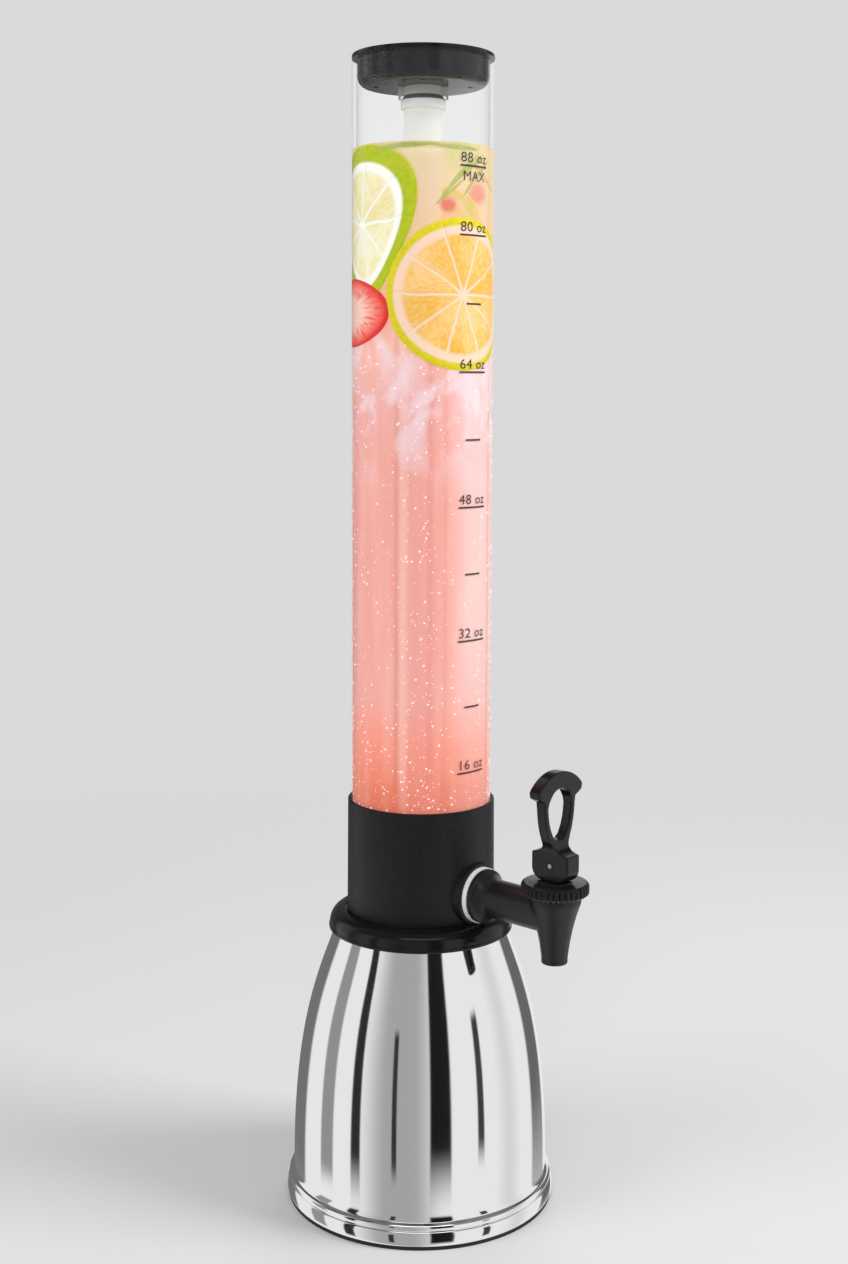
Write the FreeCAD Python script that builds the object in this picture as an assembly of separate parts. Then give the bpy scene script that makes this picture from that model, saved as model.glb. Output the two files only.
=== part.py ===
import FreeCAD, Part
import math
import os

from FreeCAD import Vector

# A table-top drinks tower. A clear tube of drink stands in a moulded collar on a
# polished bell-shaped base, and a lever tap on the collar serves from it. The lid
# drops into the top of the tube and carries a closed tube of ice down its middle.
# Millimetres, Z up. The origin is the middle of the foot, on the table, and the
# tap points along -Y. Heights are worked out upwards from the table.

# Tube
tube_d = 93.0
tube_wall = 3.0
tube_length = 517.0
tube_edge = 0.7

# Foot and bell
foot_d = 180.2
foot_rubber_height = 2.2
foot_rubber_inset = 0.8
foot_hem = 6.1
foot_band_height = 9.4
foot_band_flare = 1.5
foot_groove = 0.4
bead_height = 4.6
bead_stand = 0.9
cove_height = 5.6
cove_reach = 4.5
bell_height = 188.8
bell_sheet = 1.2
bell_cheek = 0.61
bell_waist_slope = 0.335
bell_waist_pull = 0.53
bell_shoulder_height = 5.0
bell_shoulder_reach = 7.0
bell_under_cap = 7.4
bell_steps = 8
bell_inner_steps = 4

# Cap between bell and collar
gasket_thickness = 1.0
cap_web = 2.5
cap_wall = 2.4
cap_reach = 12.7
cap_rise = 1.5
cap_channel = 1.9
cap_lip_height = 2.4
cap_lip_stand = 0.4
cap_lip_drop = 8.9
cap_roundness = 0.64
cap_steps = 5

# Collar
collar_height = 76.5
collar_rim_wall = 2.45
collar_edge = 0.6
socket_depth = 33.0
floor_thickness = 4.5
seal_thickness = 1.5
insert_r = 6.0
insert_length = 9.0
boss_wall = 4.5

# Tap shank and its port in the collar
tap_length = 62.0
tap_clearance = 0.3
port_r = 20.3
port_stand = 2.9
port_pad_r = 15.0
port_pad_thickness = 5.0
outer_washer_thickness = 3.2
outer_washer_r = 18.1
inner_washer_thickness = 2.0
spigot_r = 8.0
waterway_r = 5.5
nut_across_flats = 24.0
nut_thickness = 6.0
spigot_stand = 1.5
flare_r = 17.6
flare_rim = 3.0
flare_length = 8.0
flare_lead = 1.2
flare_steps = 3
flare_waist = 0.35
shank_r = 12.6

# Spout and valve
spout_tip_drop = 31.0
spout_tip_r = 8.4
spout_tip_land = 4.0
spout_bore_r = 6.2
spout_shoulder_r = 16.6
spout_shoulder_rise = 8.6
spout_neck_top = 16.6
spout_lead = 2.2
spout_steps = 4
spout_waist = 0.55
seat_drop = 7.2
seat_chamfer = 2.4
chamber_r = 13.0
chamber_rise = 5.6
neck_thread_r = 17.4
cup_flange_thickness = 1.6
cup_wall = 1.3
cup_plug_r = 8.2
cup_sole = 3.8
stem_r = 3.0
stem_knob_r = 4.3
stem_knob_height = 4.0
stem_stop_r = 4.9
stem_stop_height = 2.0
stem_flat = 5.0
stem_lead = 1.0
lift_travel = 3.4

# Bonnet
bonnet_r = 21.6
bonnet_skirt = 5.1
bonnet_crown = 3.3
bonnet_edge = 1.6
bonnet_chamfer = 2.0
bonnet_boss_r = 11.0
bonnet_boss_height = 0.8
guide_wall = 2.4
guide_drop = 5.0
knurl_count = 36
knurl_depth = 0.8

# Lever
block_depth = 28.5
block_width = 12.4
block_height = 17.5
cam_r = 8.0
pin_rise = 9.8
pin_r = 1.5
pin_recess = 0.2
lever_thickness = 7.0
head_thickness = 8.4
waist_rise = 26.3
waist_width = 20.6
ring_width = 31.0
ring_opening_width = 23.0
ring_opening_height = 34.0
ring_top_wall = 10.5
ring_sole = 1.0
neck_drop = 10.0
lever_steps = 6
waist_swell = 2.0
waist_turn = 3.0
flank_swell = 3.2
flank_turn = 6.0
flank_top = 2.0
opening_turn = 8.0
opening_sole = 0.65
shoulder_scoop = 3.5
shoulder_lead = 1.0
shoulder_rise = 4.5
plate_start = 1.5
head_width = 44.0
head_arc_r = 28.5
head_tip = 4.0
head_under_slope = 0.5
head_tip_lead = 0.8
head_thin_drop = 22.0
head_thick_drop = 15.0
lever_tilt_max = 30.0
slot_width = 5.4

# Lid and ice tube
lid_flange_thickness = 2.5
lid_plug_depth = 17.6
lid_plug_gap = 0.7
lid_wall = 2.5
lid_corner_r = 6.3
lid_edge = 0.8
vent_r = 2.0
vent_circle_r = 30.5
vent_count = 4
vent_turn = 42.0
grip_thickness = 5.0
grip_height = 13.0
grip_hub_r = 17.0
grip_hub_wall = 2.0
core_d = 25.3
core_wall = 1.6
core_floor_gap = 25.0
core_end_steps = 4
core_neck_ring_r = 14.6
core_neck_ring_height = 6.0
core_neck_r = 9.3
core_neck_height = 7.0
core_gasket_height = 3.0
core_socket_r = 12.2
core_socket_height = 5.5
core_socket_hub_r = 8.9
core_socket_hub_wall = 2.4
lug_width = 3.2
lug_reach = 4.0
lug_drop = 8.0
socket_nut_r = 12.0
socket_nut_height = 4.0

# Clamp under the bell's crown
stud_r = 4.0
stud_length = 46.0
stud_lead = 0.6
clamp_plate_r = 38.0
clamp_plate_thickness = 2.0
clamp_plate_rim = 3.0
lock_washer_r = 9.0
lock_washer_thickness = 1.6
hand_nut_r = 19.0
hand_nut_height = 14.0
hand_nut_lobes = 5
hand_nut_lobe_r = 7.0

# Clearances
thread_gap = 0.05
seat_gap = 0.1
socket_gap = 0.15
running_gap = 0.06
cup_gap = 0.2
slot_gap = 0.8

# Levels, upwards from the table
foot_r = foot_d / 2
tube_r = tube_d / 2
tube_bore_r = tube_r - tube_wall
bell_foot_z = foot_rubber_height
bell_top_z = foot_rubber_height + bell_height
web_z = bell_top_z + gasket_thickness
collar_z = web_z + cap_web
collar_top_z = collar_z + collar_height
ledge_z = collar_top_z - socket_depth
floor_z = collar_z + floor_thickness
tube_z = ledge_z + seal_thickness
tube_top_z = tube_z + tube_length
lid_flange_z = tube_top_z + seat_gap
lid_floor_z = lid_flange_z - lid_plug_depth
collar_r = tube_r + socket_gap + collar_rim_wall
port_face = collar_r + port_stand
port_pad_depth = tube_bore_r - port_pad_thickness
tap_height = collar_z + cap_rise + tap_clearance + outer_washer_r
tap_reach = port_face + tap_length
spout_tip_z = tap_height - spout_tip_drop
seat_z = tap_height - seat_drop
neck_top_z = tap_height + spout_neck_top
ceiling_z = neck_top_z + cup_flange_thickness
bonnet_z = ceiling_z - bonnet_skirt
bonnet_top_z = ceiling_z + bonnet_crown
boss_top_z = bonnet_top_z + bonnet_boss_height
block_z = boss_top_z + seat_gap
pin_z = block_z + pin_rise
stem_bottom_z = seat_z + cup_gap + cup_sole + seat_gap


def turned(corners):
    """Solid of revolution about Z from corners (radius, height) of a closed outline."""
    points = [Vector(radius, 0, height) for radius, height in corners]
    face = Part.Face(Part.makePolygon(points + points[:1]))
    return face.revolve(Vector(0, 0, 0), Vector(0, 0, 1), 360)


def bend(poles, steps):
    """Points of an outline along a Bezier curve through its first and last pole."""
    bezier = Part.BezierCurve()
    bezier.setPoles([Vector(u, v, 0) for u, v in poles])
    points = [bezier.value(k / steps) for k in range(steps + 1)]
    return [(point.x, point.y) for point in points]


def ring(inner_r, outer_r, low, high):
    """Plain ring about Z."""
    return turned([(inner_r, low), (outer_r, low), (outer_r, high), (inner_r, high)])


def disc(radius, low, high):
    """Plain cylinder about Z."""
    return Part.makeCylinder(radius, high - low, Vector(0, 0, low))


def along_tap(solid):
    """Lay a piece that was made about Z along the tap's shank, outwards from the tower."""
    solid.rotate(Vector(0, 0, 0), Vector(1, 0, 0), 90)
    solid.translate(Vector(0, 0, tap_height))
    return solid


def at_spout(solid):
    """Move a piece that was made about Z to the spout's axis."""
    solid.translate(Vector(0, -tap_reach, 0))
    return solid


def hexagon(across_flats, low, high):
    """Hexagonal prism about Z with a flat towards +Y and -Y."""
    corner_r = across_flats / math.sqrt(3)
    corners = [Vector(corner_r * math.cos(math.radians(60 * k)),
                      corner_r * math.sin(math.radians(60 * k)), low) for k in range(7)]
    return Part.Face(Part.makePolygon(corners)).extrude(Vector(0, 0, high - low))


# Base

def bell_skin(inset, steps):
    """Outline points of the bell from cove to crown, moved inwards by inset."""
    low = bell_foot_z + foot_band_height + bead_height + cove_height
    low_r = foot_r - cove_reach - inset
    high_r = collar_r + bell_under_cap - inset * math.cos(math.atan(bell_waist_slope))
    high = bell_top_z - bell_shoulder_height - inset * math.sin(math.atan(bell_waist_slope))
    rise = high - low
    upper_handle = rise * (1 - bell_cheek) * bell_waist_pull
    crown_r = collar_r + bell_under_cap - bell_shoulder_reach
    side = bend([(low_r, low), (low_r, low + rise * bell_cheek),
                 (high_r + bell_waist_slope * upper_handle, high - upper_handle),
                 (high_r, high)], steps)
    shoulder_r = high_r - bell_waist_slope * bell_shoulder_height
    shoulder = bend([(high_r, high), (shoulder_r, bell_top_z - inset),
                     (crown_r, bell_top_z - inset)], 3)
    return side + shoulder[1:]


def make_bell_base():
    """Spun steel bell: a hemmed foot band, a rolled bead, and a flat crown with a stud hole."""
    band_z = bell_foot_z + foot_band_height
    bead_z = band_z + bead_height
    low = bead_z + cove_height
    band_r = foot_r - foot_band_flare
    groove_r = band_r - foot_groove
    bead_r = groove_r + bead_stand
    bead_top_r = groove_r - bead_stand
    wall_r = foot_r - cove_reach
    hem_r = foot_r - foot_hem
    hole_r = stud_r + socket_gap
    hem_top = bell_foot_z + bell_sheet
    foot = [(hem_r, bell_foot_z), (foot_r - bell_sheet, bell_foot_z), (foot_r, hem_top),
            (band_r, band_z), (groove_r, band_z),
            (bead_r, band_z + bead_height * 0.3), (bead_r, band_z + bead_height * 0.7)]
    cove = bend([(bead_top_r, bead_z), (wall_r, bead_z), (wall_r, low)], 2)
    crown = [(hole_r, bell_top_z), (hole_r, bell_top_z - bell_sheet)]
    inner = bell_skin(bell_sheet, bell_inner_steps)
    inner.reverse()
    hem = [(foot_r - foot_band_flare - bell_sheet, hem_top), (hem_r, hem_top)]
    return turned(foot + cove[:-1] + bell_skin(0, bell_steps) + crown + inner + hem)


def make_foot_ring():
    """Rubber ring under the hem."""
    return ring(foot_r - foot_hem, foot_r - foot_rubber_inset, 0, foot_rubber_height)


def make_base_gasket():
    """Thin rubber gasket between the bell's crown and the cap."""
    outer_r = collar_r + bell_under_cap - bell_shoulder_reach - socket_gap
    return ring(hand_nut_r, outer_r, bell_top_z, web_z)


def make_base_cap():
    """Glossy cap: a flat web under the collar and a rolled rim that hangs over the bell."""
    channel_r = collar_r + cap_channel
    rim_r = collar_r + cap_reach
    roll_r = rim_r - cap_lip_stand
    roll_top = collar_z + cap_rise
    lip_top = collar_z - cap_lip_drop
    lip_z = lip_top - cap_lip_height
    reach = (roll_r - channel_r) * cap_roundness
    drop = (roll_top - lip_top) * cap_roundness
    under_r = rim_r - cap_wall
    under_reach = (under_r - channel_r) * cap_roundness
    under_drop = (web_z - lip_z) * cap_roundness
    web = [(hand_nut_r, web_z), (hand_nut_r, collar_z), (channel_r, collar_z)]
    roll = bend([(channel_r, roll_top), (channel_r + reach, roll_top),
                 (roll_r, lip_top + drop), (roll_r, lip_top)], cap_steps)
    lip = [(rim_r, lip_top), (rim_r, lip_z)]
    under = bend([(under_r, lip_z), (under_r, lip_z + under_drop),
                  (channel_r + under_reach, web_z), (channel_r, web_z)], cap_steps - 2)
    return turned(web + roll + lip + under)


def make_clamp_plate():
    """Pressed plate that spreads the stud's pull under the crown, with a turned-down rim."""
    top = bell_top_z - bell_sheet
    low = top - clamp_plate_thickness
    hole_r = stud_r + socket_gap
    rim_low = low - clamp_plate_rim
    rim_in_r = clamp_plate_r - clamp_plate_thickness
    return turned([(hole_r, top), (clamp_plate_r, top), (clamp_plate_r, rim_low),
                   (rim_in_r, rim_low), (rim_in_r, low), (hole_r, low)])


def make_lock_washer():
    """Plain washer under the hand nut."""
    top = bell_top_z - bell_sheet - clamp_plate_thickness
    return ring(stud_r + socket_gap, lock_washer_r, top - lock_washer_thickness, top)


def make_tie_stud():
    """Stud from the insert in the collar down through the crown to the hand nut."""
    top = collar_z + insert_length - seat_gap
    low = top - stud_length
    lead_r = stud_r - stud_lead
    return turned([(0, low), (lead_r, low), (stud_r, low + stud_lead),
                   (stud_r, top - stud_lead), (lead_r, top), (0, top)])


def make_hand_nut():
    """Lobed nut that is turned by hand inside the bell."""
    top = bell_top_z - bell_sheet - clamp_plate_thickness - lock_washer_thickness
    low = top - hand_nut_height
    body = disc(hand_nut_r - hand_nut_lobe_r / 2, low, top)
    for k in range(hand_nut_lobes):
        turn = math.radians(360 / hand_nut_lobes * k)
        reach = hand_nut_r - hand_nut_lobe_r / 2
        spot = Vector(reach * math.cos(turn), reach * math.sin(turn), low)
        body = body.fuse(Part.makeCylinder(hand_nut_lobe_r / 2, hand_nut_height, spot))
    return body.removeSplitter().cut(disc(stud_r + thread_gap, low, top))


# Collar and tube

def make_collar():
    """Moulded collar: tube socket and ledge, floor, insert boss and a port cut clear of the cap."""
    socket_r = tube_r + socket_gap
    wall = turned([(0, collar_z), (collar_r, collar_z), (collar_r, collar_top_z - collar_edge),
                   (collar_r - collar_edge, collar_top_z),
                   (socket_r + collar_edge, collar_top_z), (socket_r, collar_top_z - collar_edge),
                   (socket_r, ledge_z), (tube_bore_r, ledge_z), (tube_bore_r, floor_z),
                   (0, floor_z)])
    port = along_tap(disc(port_r, tube_bore_r - 1, port_face))
    port = port.cut(disc(port_face + port_r, collar_z - port_r, collar_z + cap_rise + seat_gap))
    pad = along_tap(disc(port_pad_r, port_pad_depth, tube_bore_r + 2))
    bore_only = disc(tube_bore_r + tube_wall / 2, collar_z, ledge_z)
    pad = pad.common(bore_only)
    boss_r = insert_r + boss_wall
    boss_top = collar_z + insert_length + boss_wall
    boss = disc(boss_r, collar_z, boss_top)
    body = wall.fuse([port, pad, boss])
    body = body.cut(along_tap(disc(spigot_r + socket_gap, port_pad_depth - 5, port_face + 1)))
    body = body.cut(disc(insert_r + thread_gap, collar_z - 1, collar_z + insert_length))
    return body.removeSplitter()


def make_threaded_insert():
    """Brass insert that is moulded into the collar's boss and takes the stud."""
    return ring(stud_r + thread_gap, insert_r, collar_z, collar_z + insert_length)


def make_tube_seal():
    """Silicone ring on the collar's ledge that seals the foot of the tube."""
    return ring(tube_bore_r + socket_gap, tube_r - socket_gap, ledge_z, tube_z)


def make_tower_tube():
    """Clear tube with a bevelled upper rim."""
    bevel_z = tube_top_z - tube_edge
    return turned([(tube_bore_r, tube_z), (tube_r, tube_z), (tube_r, bevel_z),
                   (tube_r - tube_edge, tube_top_z), (tube_bore_r + tube_edge, tube_top_z),
                   (tube_bore_r, bevel_z)])


# Tap

def make_outer_washer():
    """White silicone washer between the port and the shank's flare."""
    return along_tap(ring(spigot_r + thread_gap, outer_washer_r, port_face,
                          port_face + outer_washer_thickness))


def make_inner_washer():
    """Washer on the pad inside the collar."""
    return along_tap(ring(spigot_r + thread_gap, port_pad_r - 1,
                          port_pad_depth - inner_washer_thickness, port_pad_depth))


def make_faucet_nut():
    """Hexagonal nut that pulls the tap against the collar from the inside."""
    high = port_pad_depth - inner_washer_thickness
    nut = hexagon(nut_across_flats, high - nut_thickness, high)
    nut.rotate(Vector(0, 0, 0), Vector(0, 0, 1), 30)
    return along_tap(nut.cut(disc(spigot_r + thread_gap, 0, high)))


def make_faucet_body():
    """One moulding: threaded spigot, flared flange, shank and tapered spout, with waterways."""
    spigot_start = port_pad_depth - inner_washer_thickness - nut_thickness - spigot_stand
    flare_z = port_face + outer_washer_thickness
    rim_z = flare_z + flare_rim
    flare = bend([(flare_r, rim_z), (shank_r + flare_lead, rim_z + flare_length * flare_waist),
                  (shank_r, rim_z + flare_length)], flare_steps)
    shank = along_tap(turned(
        [(0, spigot_start), (spigot_r, spigot_start), (spigot_r, flare_z), (flare_r, flare_z)]
        + flare + [(shank_r, tap_reach), (0, tap_reach)]))
    land_z = spout_tip_z + spout_tip_land
    shoulder_z = tap_height + spout_shoulder_rise
    thread_z = bonnet_z + bonnet_chamfer
    taper = bend([(spout_tip_r, land_z),
                  (spout_tip_r + spout_lead, land_z + (shoulder_z - land_z) * spout_waist),
                  (spout_shoulder_r, shoulder_z)], spout_steps)
    spout = at_spout(turned(
        [(0, spout_tip_z), (spout_tip_r, spout_tip_z)] + taper
        + [(spout_shoulder_r, thread_z), (neck_thread_r, thread_z),
           (neck_thread_r, neck_top_z), (0, neck_top_z)]))
    seat_r = spout_bore_r + seat_chamfer
    chamber_z = tap_height + chamber_rise
    chamber = at_spout(turned([
        (0, spout_tip_z - 1), (spout_bore_r, spout_tip_z - 1), (spout_bore_r, seat_z),
        (seat_r, seat_z + seat_chamfer), (seat_r, chamber_z), (chamber_r, chamber_z),
        (chamber_r, neck_top_z + 1), (0, neck_top_z + 1)]))
    waterway = along_tap(disc(waterway_r, spigot_start - 1, tap_reach - 2))
    return shank.fuse(spout).cut(chamber).cut(waterway).removeSplitter()


def make_seat_cup():
    """Silicone cup: its flange is held under the bonnet and its plug closes the seat."""
    outer_r = chamber_r - cup_gap
    plug_z = seat_z + cup_gap
    plug_top = tap_height + chamber_rise + cup_gap
    knob_z = stem_bottom_z - seat_gap
    knob_top = stem_bottom_z + stem_knob_height + seat_gap
    knob_r = stem_knob_r + seat_gap
    throat_r = stem_r + 2 * seat_gap
    inner_r = outer_r - cup_wall
    pocket_r = cup_plug_r - cup_wall
    return at_spout(turned([
        (0, plug_z), (spout_bore_r - cup_gap, plug_z), (cup_plug_r, seat_z + seat_chamfer + cup_gap),
        (cup_plug_r, plug_top), (outer_r, plug_top), (outer_r, neck_top_z),
        (neck_thread_r, neck_top_z), (neck_thread_r, ceiling_z), (inner_r, ceiling_z),
        (inner_r, plug_top + cup_wall), (pocket_r, plug_top + cup_wall),
        (pocket_r, knob_top + cup_wall), (throat_r, knob_top + cup_wall), (throat_r, knob_top),
        (knob_r, knob_top), (knob_r, knob_z), (0, knob_z)]))


def make_stem():
    """Valve stem: knob in the cup, travel stop, round guide length and an eye for the pin."""
    stop_z = stem_stop_z()
    top = pin_z + stem_r
    knob_top = stem_bottom_z + stem_knob_height
    stop_top = stop_z + stem_stop_height
    rod = turned([(0, stem_bottom_z), (stem_knob_r, stem_bottom_z), (stem_knob_r, knob_top),
                  (stem_r, knob_top), (stem_r, stop_z), (stem_stop_r, stop_z),
                  (stem_stop_r, stop_top), (stem_r, stop_top), (stem_r, top - stem_lead),
                  (stem_r - stem_lead, top), (0, top)])
    flats = Part.makeBox(stem_flat, 4 * stem_r, top, Vector(-stem_flat / 2, -2 * stem_r, 0))
    keyed = rod.common(flats.fuse(disc(stem_stop_r + 1, 0, stop_top)))
    eye = Part.makeCylinder(pin_r + running_gap, 4 * stem_r, Vector(-2 * stem_r, 0, pin_z),
                            Vector(1, 0, 0))
    return at_spout(keyed.cut(eye).removeSplitter())


def stem_stop_z():
    """Underside of the stem's stop, which meets the guide at full lift."""
    return guide_z() - lift_travel - seat_gap - stem_stop_height


def guide_z():
    """Lower end of the stem guide inside the bonnet."""
    return neck_top_z - guide_drop


def make_bonnet():
    """Screw-down bonnet: knurled rim, thin crown, keyed guide for the stem and a low boss."""
    skirt_r = neck_thread_r + thread_gap
    guide_r = stem_r + guide_wall
    body = turned([
        (0, guide_z()), (guide_r, guide_z()), (guide_r, ceiling_z), (skirt_r, ceiling_z),
        (skirt_r, bonnet_z), (bonnet_r - bonnet_chamfer, bonnet_z),
        (bonnet_r, bonnet_z + bonnet_chamfer), (bonnet_r, bonnet_top_z - bonnet_edge),
        (bonnet_r - bonnet_edge, bonnet_top_z), (bonnet_boss_r, bonnet_top_z),
        (bonnet_boss_r, boss_top_z), (0, boss_top_z)])
    crests = []
    step = 360 / knurl_count
    root_r = bonnet_r - knurl_depth
    for k in range(knurl_count):
        for share, radius in ((-0.3, bonnet_r), (0.1, bonnet_r), (0.4, root_r)):
            turn = math.radians(step * (k + share))
            crests.append(Vector(radius * math.cos(turn), radius * math.sin(turn), guide_z() - 1))
    crests.append(crests[0])
    star = Part.Face(Part.makePolygon(crests)).extrude(Vector(0, 0, boss_top_z))
    key = Part.makeBox(stem_flat + 2 * running_gap, 4 * stem_r, 4 * boss_top_z,
                       Vector(-stem_flat / 2 - running_gap, -2 * stem_r, 0))
    keyway = disc(stem_r + running_gap, 0, boss_top_z + 1).common(key)
    return at_spout(body.common(star).cut(keyway).removeSplitter())


def arched(right, top_z):
    """Upright face across the tap: an outline's right half, its mirror image and an arch."""
    left = [(-u, v) for u, v in reversed(right)]
    points = [Vector(u, 0, v) for u, v in left + right]
    arch = Part.Arc(points[-1], Vector(0, 0, top_z), points[0]).toShape()
    return Part.Face(Part.Wire(Part.__sortEdges__(Part.makePolygon(points).Edges + [arch])))


def lever_front():
    """Lever seen along the tap: block, waist, ring and arched head, with the finger opening."""
    waist_z = block_z + waist_rise
    opening_z = waist_z - ring_sole
    opening_top = opening_z + ring_opening_height
    crown_z = opening_top + ring_top_wall
    half_block = block_width / 2
    half_waist = waist_width / 2
    half_ring = ring_width / 2
    half_head = head_width / 2
    half_opening = ring_opening_width / 2
    tip_z = crown_z - head_arc_r + math.sqrt(head_arc_r ** 2 - half_head ** 2)
    tip_low = tip_z - head_tip
    leg_top = tip_low - (half_head - half_ring) * head_under_slope
    neck_z = waist_z - neck_drop
    belly_z = opening_top - half_opening
    neck = bend([(half_block, neck_z), (half_block, neck_z + neck_drop / 2),
                 (half_waist - waist_swell, waist_z - waist_turn), (half_waist, waist_z)], lever_steps)
    flank = bend([(half_waist, waist_z), (half_waist + flank_swell, waist_z + flank_turn),
                  (half_ring, belly_z - flank_turn), (half_ring, belly_z + flank_top)], lever_steps)
    tip = bend([(half_head - head_tip_lead, tip_low), (half_head, tip_low + head_tip_lead),
                (half_head, tip_z)], 2)
    outline = [(half_block, block_z)] + neck + flank[1:] + [(half_ring, leg_top)] + tip
    opening = bend([(0, opening_z), (half_opening * opening_sole, opening_z),
                    (half_opening, belly_z - opening_turn), (half_opening, belly_z)], lever_steps)
    depth = Vector(0, 2 * block_depth, 0)
    outer = arched(outline, crown_z).extrude(depth)
    hole = arched(opening[1:], opening_top).extrude(depth)
    lever = outer.cut(hole)
    lever.translate(Vector(0, -block_depth, 0))
    return lever


def lever_side():
    """Lever seen from the side: thin ring, scooped shoulders and a block with two cam edges."""
    waist_z = block_z + waist_rise
    crown_z = waist_z - ring_sole + ring_opening_height + ring_top_wall
    half_block = block_depth / 2
    half_plate = lever_thickness / 2
    half_head = head_thickness / 2
    shoulder_z = block_z + block_height
    cam_mid = cam_r * (1 - math.sqrt(0.5))
    scoop = bend([(half_block, shoulder_z),
                  (half_plate + shoulder_scoop, shoulder_z + shoulder_lead),
                  (half_plate, shoulder_z + shoulder_rise),
                  (half_plate, waist_z + plate_start)], lever_steps)
    front = scoop + [(half_plate, crown_z - head_thin_drop), (half_head, crown_z - head_thick_drop),
                     (half_head, crown_z + 1.0)]
    back = [(-u, v) for u, v in reversed(front)]
    upper = Part.makePolygon([Vector(0, u, v) for u, v in front + back])
    cams = []
    for side in (-1, 1):
        cams.append(Part.Arc(Vector(0, side * (half_block - cam_r), block_z),
                             Vector(0, side * (half_block - cam_mid), block_z + cam_mid),
                             Vector(0, side * half_block, block_z + cam_r)).toShape())
        cams.append(Part.LineSegment(Vector(0, side * half_block, block_z + cam_r),
                                     Vector(0, side * half_block, shoulder_z)).toShape())
    sole = Part.LineSegment(Vector(0, cam_r - half_block, block_z),
                            Vector(0, half_block - cam_r, block_z)).toShape()
    face = Part.Face(Part.Wire(Part.__sortEdges__(upper.Edges + cams + [sole])))
    face.translate(Vector(-head_width, 0, 0))
    return face.extrude(Vector(2 * head_width, 0, 0))


def make_handle():
    """Ring lever: the front and side outlines meet in one moulding, slotted for the stem."""
    body = lever_front().common(lever_side()).removeSplitter()
    slot_r = stem_r + slot_gap
    lean = math.tan(math.radians(lever_tilt_max + 3))
    slot_top = pin_z + slot_r
    below = pin_z - block_z + 1
    outline = [Vector(0, slot_r, slot_top), Vector(0, slot_r, block_z - 1),
               Vector(0, -slot_r - below * lean, block_z - 1), Vector(0, -slot_r, pin_z),
               Vector(0, -slot_r, slot_top), Vector(0, slot_r, slot_top)]
    slot = Part.Face(Part.makePolygon(outline))
    slot.translate(Vector(-slot_width / 2, 0, 0))
    body = body.cut(slot.extrude(Vector(slot_width, 0, 0)))
    eye = Part.makeCylinder(pin_r + thread_gap, 2 * block_width,
                            Vector(-block_width, 0, pin_z), Vector(1, 0, 0))
    return at_spout(body.cut(eye).removeSplitter())


def make_handle_pin():
    """Steel pin through the lever's block and the stem's eye."""
    length = block_width - 2 * pin_recess
    return at_spout(Part.makeCylinder(pin_r, length, Vector(-length / 2, 0, pin_z),
                                      Vector(1, 0, 0)))


# Lid and ice tube

def make_lid():
    """Cup-shaped lid: flange on the tube's rim, plug inside it, vents and a grip in the cup."""
    top = lid_flange_z + lid_flange_thickness
    plug_r = tube_bore_r - lid_plug_gap
    cup_r = plug_r - lid_wall
    plate_top = lid_floor_z + lid_wall
    sole = bend([(plug_r - lid_corner_r, lid_floor_z), (plug_r, lid_floor_z),
                 (plug_r, lid_floor_z + lid_corner_r)], 3)
    cup_foot = bend([(cup_r, plate_top + lid_corner_r - lid_wall), (cup_r, plate_top),
                     (cup_r - lid_corner_r + lid_wall, plate_top)], 2)
    shell = turned([(0, lid_floor_z)] + sole + [
        (plug_r, lid_flange_z), (tube_r, lid_flange_z), (tube_r, top - lid_edge),
        (tube_r - lid_edge, top), (cup_r + lid_edge, top), (cup_r, top - lid_edge)]
        + cup_foot + [(0, plate_top)])
    grip_top = plate_top + grip_height
    grip = Part.makeBox(2 * (cup_r + 1), grip_thickness, grip_height,
                        Vector(-cup_r - 1, -grip_thickness / 2, plate_top))
    hub = disc(grip_hub_r, plate_top, grip_top - 3)
    body = shell.fuse([grip, hub])
    hub_bore_r = grip_hub_r - grip_hub_wall
    body = body.cut(disc(hub_bore_r, plate_top, grip_top + 1))
    body = body.cut(disc(core_socket_hub_r + thread_gap, lid_floor_z - 1, grip_top))
    for k in range(vent_count):
        turn = math.radians(vent_turn + 360 / vent_count * k - 90)
        spot = Vector(vent_circle_r * math.cos(turn), vent_circle_r * math.sin(turn),
                      lid_floor_z - 1)
        body = body.cut(Part.makeCylinder(vent_r, lid_wall + 2, spot))
    return body.removeSplitter()


def make_core_socket():
    """White socket under the lid: a hub up through it, a skirt and two lugs beside the ring."""
    skirt_z = lid_floor_z - core_socket_height
    hub_top = lid_floor_z + lid_wall + socket_nut_height
    bore_r = core_neck_r + socket_gap
    skirt = disc(core_socket_r, skirt_z, lid_floor_z)
    hub = disc(core_socket_hub_r, lid_floor_z, hub_top)
    reach = core_socket_r + lug_reach
    lugs = Part.makeBox(2 * reach, lug_width, lug_drop,
                        Vector(-reach, -lug_width / 2, lid_floor_z - lug_drop))
    lugs = lugs.cut(disc(core_neck_ring_r + seat_gap, lid_floor_z - lug_drop - 1, skirt_z))
    lugs.rotate(Vector(0, 0, 0), Vector(0, 0, 1), vent_turn - 90)
    body = skirt.fuse([hub, lugs])
    body = body.cut(disc(bore_r, skirt_z - 1, lid_floor_z - 1))
    body = body.cut(disc(core_socket_hub_r - core_socket_hub_wall, lid_floor_z - 2, hub_top + 1))
    return body.removeSplitter()


def make_socket_nut():
    """Nut in the lid's cup that holds the socket."""
    low = lid_floor_z + lid_wall
    nut = hexagon(2 * socket_nut_r, low, low + socket_nut_height)
    return nut.cut(disc(core_socket_hub_r + thread_gap, low - 1, low + socket_nut_height + 1))


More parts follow.
